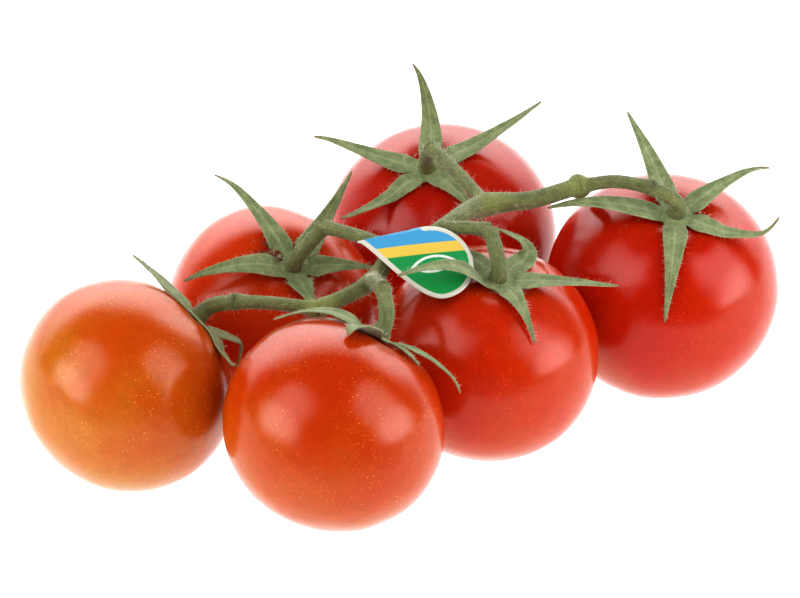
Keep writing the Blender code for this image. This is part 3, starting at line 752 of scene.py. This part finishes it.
def comb(name, roots):
    """One piece of many hairs; each root is a place, a way and a length in millimetres."""
    whole = bmesh.new()
    for start in range(0, len(roots), HAIR_BATCH):
        lock = bmesh.new()
        for place, way, length in roots[start:start + HAIR_BATCH]:
            turned = way.to_track_quat("Z", "Y").to_matrix().to_4x4()
            middle = Matrix.Translation(place + way * (length / 2 - 0.1) * MM)
            bmesh.ops.create_cone(lock, cap_ends=True, segments=3, radius1=HAIR_HALF * MM,
                                  radius2=HAIR_HALF * 0.3 * MM, depth=length * MM,
                                  matrix=middle @ turned)
        batch = bpy.data.meshes.new("lock")
        lock.to_mesh(batch)
        lock.free()
        whole.from_mesh(batch)
        bpy.data.meshes.remove(batch)
    finished(name, whole, hair_finish)


def leaning(normal, rng, spread):
    """A way near a normal."""
    off = Vector((rng.gauss(0, spread), rng.gauss(0, spread), rng.gauss(0, spread)))
    return (normal + off).normalized()


chance = random.Random(7)
stem_roots = []
polygons = truss.data.polygons
for _ in range(STEM_HAIRS):
    face = polygons[chance.randrange(len(polygons))]
    length = 0.5 + 0.9 * chance.random() + (1.1 if chance.random() < LONG_SHARE else 0)
    stem_roots.append((face.center.copy(), leaning(face.normal, chance, 0.35), length))
comb("stem_hairs", stem_roots)

for name, fruit in tomatoes.items():
    roots = []
    for row in SEPALS[name]:
        for _ in range(LEAF_HAIRS):
            u = chance.uniform(0.02, 0.97)
            edge = chance.choice((-1, 1))
            share = edge * (1 if chance.random() < EDGE_SHARE else chance.random())
            spot, along, across, out = leaf_frame(fruit, row, u)
            place = spot + (across * share * half_leaf(u, row) * 0.96
                            + out * SEPAL_FOLD * abs(share) * 0.6) * MM
            way = across * share * 0.9 + out * chance.uniform(-0.1, 0.9) + along * 0.35
            roots.append((place, leaning(way.normalized(), chance, 0.25),
                          0.5 + 0.9 * chance.random()))
    for _ in range(SKIN_HAIRS):
        reach = chance.uniform(5, 15)
        turn = chance.uniform(0, 360)
        place = fruit.place(turn, reach * MM, fruit.skin(reach * MM) - 0.1 * MM)
        normal = (place - fruit.centre).normalized()
        roots.append((place, leaning(normal, chance, 0.5), chance.uniform(0.8, 1.7)))
    comb("calyx_hairs_" + name, roots)

# ==== The paper tag ====
# A drop-shaped printed tag of coated paper that leans in front of the stem: a tab at its back is
# folded over the stem.  It carries plain bands, a leaf outline and a cream rim, and no lettering.
TAG_LENGTH = 28.0
TAG_DROP = 22.0
TAG_ROUND = 10.0         # length of the round end
TAG_HANG = 16.8          # from its point to where it hangs on the stem
TAG_TIP = 0.6
TAG_BELLY = 1.25
TAG_PAPER = 0.3
TAG_LEAN = 50.0          # degrees from the upright
TAG_TURN = -4.5          # degrees in its own plane
TAG_SLACK = 0.7
TAG_BOW_ALONG, TAG_BOW_DOWN = 0.5, 0.9
TAG_TAB_WIDTH = 5.0
TAG_TAB_DROP = 6.0
FOLD_STEPS = 10
FOLD_RISE = 0.15         # the fold lies nearly flat on the stem
TAG_STEPS = (56, 22)
OUTLINE_STEPS = 240


def tag_edges(s):
    """How far below the fold the front flap starts and ends, at a distance from its point."""
    straight = TAG_LENGTH - TAG_ROUND
    if s <= straight:
        return 0, max(TAG_TIP, TAG_DROP * math.sin(s / straight * math.pi / 2) ** TAG_BELLY)
    curl = 1 - math.sqrt(max(0, 1 - ((s - straight) / TAG_ROUND) ** 2))
    return TAG_DROP / 2 * curl, max(TAG_DROP * (1 - curl / 2), TAG_DROP / 2 * curl + TAG_TIP)


outline = []
for i in range(OUTLINE_STEPS + 1):
    s = TAG_LENGTH * i / OUTLINE_STEPS
    top, bottom = tag_edges(s)
    outline.append(Vector((s, bottom, 0)))
    if s > TAG_LENGTH - TAG_ROUND:
        outline.append(Vector((s, top, 0)))

fold_from, fold_to = point_mm(*UNDER_TAG), point_mm(*MIDDLE_FORK)
hang = (fold_from + fold_to) / 2
tag_along = (fold_to - fold_from).normalized()
lean = math.radians(TAG_LEAN)
facing = Vector((0, -math.cos(lean), math.sin(lean)))
tag_out = (facing - tag_along * facing.dot(tag_along)).normalized()
tag_along = Matrix.Rotation(math.radians(TAG_TURN), 3, tag_out) @ tag_along
tag_down = tag_along.cross(tag_out)
fold_reach = (STEM_HALF + TAG_SLACK) * MM

sheet = bmesh.new()
print_place = sheet.verts.layers.float_vector.new("print_place")
bmesh.ops.create_grid(sheet, x_segments=TAG_STEPS[0], y_segments=TAG_STEPS[1], size=1)
folded = []
for vert in sheet.verts:
    s = (vert.co.x + 1) / 2 * TAG_LENGTH
    top, bottom = tag_edges(s)
    v = (1 - vert.co.y) / 2
    d = top + (bottom - top) * v
    if v == 0 and abs(s - TAG_HANG) < TAG_TAB_WIDTH / 2:
        folded.append(vert)
    bow = (TAG_BOW_ALONG * math.sin(math.pi * s / TAG_LENGTH)
           + TAG_BOW_DOWN * (d / TAG_DROP) ** 2)
    vert.co = hang + tag_out * (fold_reach + bow * MM)
    vert.co += (tag_along * (s - TAG_HANG) + tag_down * d) * MM
    rim = min((Vector((s, d, 0)) - spot).length for spot in outline)
    vert[print_place] = (s, d, rim)
hem = [edge for edge in sheet.edges if all(vert in folded for vert in edge.verts)]
for i in range(FOLD_STEPS + 1):
    grown = bmesh.ops.extrude_edge_only(sheet, edges=hem)["geom"]
    fresh = [item for item in grown if isinstance(item, bmesh.types.BMVert)]
    hem = [item for item in grown if isinstance(item, bmesh.types.BMEdge)]
    if i < FOLD_STEPS:
        turn = math.pi * (i + 1) / FOLD_STEPS
        for vert in fresh:
            vert.co = (hang + tag_along * (vert.co - hang).dot(tag_along)
                       + tag_out * math.cos(turn) * fold_reach
                       - tag_down * math.sin(turn) * fold_reach * FOLD_RISE)
    else:
        bmesh.ops.translate(sheet, verts=fresh, vec=tag_down * TAG_TAB_DROP * MM)

TAG_GREEN = (0.015, 0.300, 0.085, 1)
TAG_BLUE = (0.070, 0.330, 0.560, 1)
TAG_YELLOW = (0.700, 0.500, 0.090, 1)
TAG_CREAM = (0.600, 0.575, 0.500, 1)
TAG_WHITE = (0.720, 0.720, 0.680, 1)
tag_finish, tree, shader = new_finish("printed_paper")
printed = node(tree, "Attribute", attribute_name="print_place").outputs["Vector"]
print_parts = node(tree, "SeparateXYZ", {0: printed}).outputs
across_tag = reckon(tree, "ADD", print_parts[1], reckon(tree, "MULTIPLY", print_parts[0], -0.10))
tone = blended(tree, graded(tree, across_tag, 3.0, 3.2), TAG_BLUE, TAG_YELLOW)
tone = blended(tree, graded(tree, across_tag, 6.2, 6.4), tone, TAG_GREEN)


def ring_off(centre, radius):
    """Distance outside a circle in the plane of the print."""
    away = node(tree, "VectorMath", {0: scaled(tree, printed, (1, 1, 0)), 1: centre},
                operation="DISTANCE").outputs["Value"]
    return reckon(tree, "SUBTRACT", away, radius)


leaf_shape = reckon(tree, "MAXIMUM", ring_off((17.5, 5.5, 0), 8.0), ring_off((17.5, 17.0, 0), 8.0))
leaf_line = graded(tree, reckon(tree, "ABSOLUTE", leaf_shape), 0.45, 0.30)
leaf_rib = reckon(tree, "MULTIPLY", graded(tree, leaf_shape, 0.1, -0.1), graded(
    tree, reckon(tree, "ABSOLUTE", reckon(tree, "SUBTRACT", print_parts[1], 11.25)), 0.30, 0.18))
tone = blended(tree, reckon(tree, "MAXIMUM", leaf_line, leaf_rib), tone, TAG_WHITE)
tone = blended(tree, graded(tree, print_parts[2], 1.35, 1.15), tone, TAG_CREAM)
fibre = patches(tree, printed, 4.0, 3.0)
relief(tree, shader, fibre, 0.02)
fill(tree, shader, {"Base Color": tone, "Roughness": graded(tree, fibre, 0.3, 0.7, 0.30, 0.42),
                    "Coat Weight": 0.3, "Coat Roughness": 0.25})
tag = finished("printed_tag", sheet, tag_finish, ["paper_tag"])
wall = tag.modifiers.new("paper", "SOLIDIFY")
wall.thickness = TAG_PAPER * MM
wall.offset = 1

# ==== The dried flower ====
# What is left of a withered flower lies on the skin beside one calyx: thin brown and grey shreds.
DRY_BROWN = (0.20, 0.05, 0.02, 1)
DRY_GREY = (0.50, 0.47, 0.38, 1)
PETAL_WALL = 0.15
SHREDS = (               # direction, first and last reach from the stalk, width
    (163, 3.0, 11.5, 1.3), (152, 3.0, 9.0, 1.8), (172, 5.0, 12.5, 1.0), (146, 6.0, 11.0, 1.1),
)
dry_finish, tree, shader = new_finish("withered_petal")
dry_place = place_in_mm(tree)
dry_patches = patches(tree, dry_place, 0.7, 4.0)
dry_tone = blended(tree, graded(tree, dry_patches, 0.5, 0.7), DRY_BROWN, DRY_GREY)
fill(tree, shader, {"Base Color": dry_tone, "Roughness": 0.8})
relief(tree, shader, patches(tree, dry_place, 3.0, 3.0), 0.1)
shreds = bmesh.new()
host = tomatoes["back_left"]
for turn, first, last, wide in SHREDS:
    shred = bmesh.ops.create_grid(shreds, x_segments=14, y_segments=2, size=1)["verts"]
    for vert in shred:
        u = (vert.co.x + 1) / 2
        reach = first + (last - first) * u
        twist = vert.co.y * wide * math.sin(math.pi * min(1, u + 0.1)) * 0.5
        crumple = noise.noise(Vector((u * 5, turn, vert.co.y)))
        vert.co = host.place(turn + math.degrees(twist / reach) + crumple * 7, reach * MM,
                             host.skin(reach * MM) + (1.0 + crumple * 1.2 + abs(twist)) * MM)
flower = finished("dried_flower", shreds, dry_finish)
wall = flower.modifiers.new("petal_wall", "SOLIDIFY")
wall.thickness = PETAL_WALL * MM

# ==== The table, the light and the camera ====
# A plain white table in a white studio with a soft box on each side.  The glossy skins mirror a
# pale backdrop behind them, two soft glows that lean in on each side, and a dim room in front.
TABLE_SIZE = 6.0
TABLE_DARK, TABLE_LIT = -0.17, -0.09     # metres, where the mirrored table fades to the front
TABLE_DIM = 0.06
floor_shape = bmesh.new()
bmesh.ops.create_grid(floor_shape, x_segments=1, y_segments=1, size=TABLE_SIZE)
floor_mesh = bpy.data.meshes.new("table")
floor_shape.to_mesh(floor_mesh)
floor_shape.free()
table_finish, tree, shader = new_finish("white_table")
# The table glows evenly white to the camera and in the light it throws on the fruits; seen in the
# glossy skins, its glow fades towards the front: a painted dim reflection.
table_ray = node(tree, "LightPath").outputs["Is Glossy Ray"]
table_way = node(tree, "SeparateXYZ", {0: node(tree, "TexCoord").outputs["Object"]}).outputs[1]
table_glow = node(tree, "Mix", {0: table_ray, 2: 1.0, 3: graded(
    tree, table_way, TABLE_DARK, TABLE_LIT, TABLE_DIM, 1.0)}).outputs[0]
fill(tree, shader, {"Base Color": (0.15, 0.15, 0.15, 1), "Roughness": 0.6,
                    "Emission Color": WHITE, "Emission Strength": table_glow})
floor_mesh.materials.append(table_finish)
floor = bpy.data.objects.new("table", floor_mesh)
bpy.context.scene.collection.objects.link(floor)

ROOM_LIGHT = 0.02
AMBIENT_LIGHT = 0.78
BACKDROP_FROM, BACKDROP_TO = 0.24, 0.62
BACKDROP_LOW, BACKDROP_HIGH = 1.2, 3.4   # strength near the table and overhead
GLOWS = (                # direction and strength, each pair leaning in towards the top
    ((-0.84, -0.49, 0.22), 4.4), ((-0.60, -0.50, 0.62), 2.5),
    ((0.94, -0.30, 0.16), 4.4), ((0.74, -0.36, 0.56), 2.5),
)
GLOW_WIDE, GLOW_CORE = math.cos(math.radians(29)), math.cos(math.radians(4))
studio = bpy.data.worlds.new("studio")
studio.use_nodes = True
studio.cycles.sampling_method = "NONE"
sky = studio.node_tree
outward = node(sky, "TexCoord").outputs["Generated"]
outward_parts = node(sky, "SeparateXYZ", {0: outward}).outputs
mirrored = reckon(sky, "MULTIPLY", graded(sky, outward_parts[1], BACKDROP_FROM, BACKDROP_TO,
                                          ROOM_LIGHT, 1.0),
                  graded(sky, outward_parts[2], 0.05, 0.75, BACKDROP_LOW, BACKDROP_HIGH))
for way, light in GLOWS:
    nearness = node(sky, "VectorMath", {0: outward, 1: Vector(way).normalized()},
                    operation="DOT_PRODUCT")
    mirrored = reckon(sky, "MAXIMUM", mirrored, graded(
        sky, nearness.outputs["Value"], GLOW_WIDE, GLOW_CORE, 0.0, light))
ray = node(sky, "LightPath").outputs
strength = node(sky, "Mix", {0: ray["Is Diffuse Ray"], 2: mirrored, 3: AMBIENT_LIGHT}).outputs[0]
strength = node(sky, "Mix", {0: ray["Is Camera Ray"], 2: strength, 3: 1.0}).outputs[0]
fill(sky, sky.nodes["Background"], {0: WHITE, 1: strength})
bpy.context.scene.world = studio
bpy.context.scene.view_settings.view_transform = "Standard"
bpy.context.scene.view_settings.look = "High Contrast"

SOFT_BOXES = {           # direction, width and height in metres, watts
    "left_box": ((-0.86, -0.40, 0.42), 0.62, 1.05, 2.4),
    "right_box": ((0.85, -0.40, 0.38), 0.62, 1.10, 2.4),
}
SOFT_BOX_REACH = 0.9
SOFT_BOX_AIM = Vector((0, 0, 0.03))
for name, (way, wide, tall, watts) in SOFT_BOXES.items():
    lamp = bpy.data.lights.new(name, "AREA")
    lamp.shape = "RECTANGLE"
    lamp.size, lamp.size_y = wide, tall
    lamp.energy = watts
    held = bpy.data.objects.new(name, lamp)
    held.location = SOFT_BOX_AIM + Vector(way).normalized() * SOFT_BOX_REACH
    held.rotation_euler = Vector(way).to_track_quat("Z", "Y").to_euler()
    held.visible_glossy = False
    bpy.context.scene.collection.objects.link(held)

CAMERA_PITCH = math.radians(23)
CAMERA_REACH = 0.9
CAMERA_TARGET = Vector((-0.0030, 0.0240, 0.025))
camera_data = bpy.data.cameras.new("camera")
camera_data.lens = 145.8
camera_data.sensor_width = 36
camera_data.clip_start = 0.01
camera = bpy.data.objects.new("camera", camera_data)
camera.location = CAMERA_TARGET + Vector((0, -math.cos(CAMERA_PITCH),
                                          math.sin(CAMERA_PITCH))) * CAMERA_REACH
camera.rotation_euler = (math.pi / 2 - CAMERA_PITCH, 0, 0)
bpy.context.scene.collection.objects.link(camera)
bpy.context.scene.camera = camera

bpy.context.view_layer.update()
